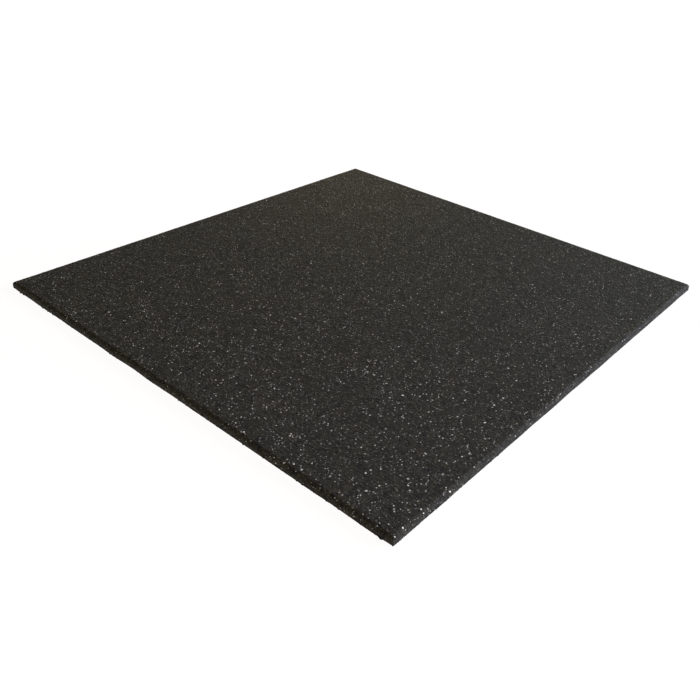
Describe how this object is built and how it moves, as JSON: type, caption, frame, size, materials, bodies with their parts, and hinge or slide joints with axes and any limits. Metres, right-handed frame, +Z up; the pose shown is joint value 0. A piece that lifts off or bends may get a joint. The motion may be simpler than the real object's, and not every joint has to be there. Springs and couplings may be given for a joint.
{
  "type": "rubber floor tile",
  "caption": "Square flat floor tile of bonded black rubber granules with pale flecks, rounded upper edge and plain flat underside.",
  "frame": {"origin": "middle of the underside, on the floor that the tile lies on", "axes": "+Z up, out of the walking face; X and Y along the sides, and the picture's nearest corner is at -X, -Y"},
  "size_m": [1, 1, 0.015],
  "materials": {
    "bonded_rubber": "matte"
  },
  "bodies": {
    "root": {"rubber_tile": "bonded_rubber"}
  },
  "joints": []
}
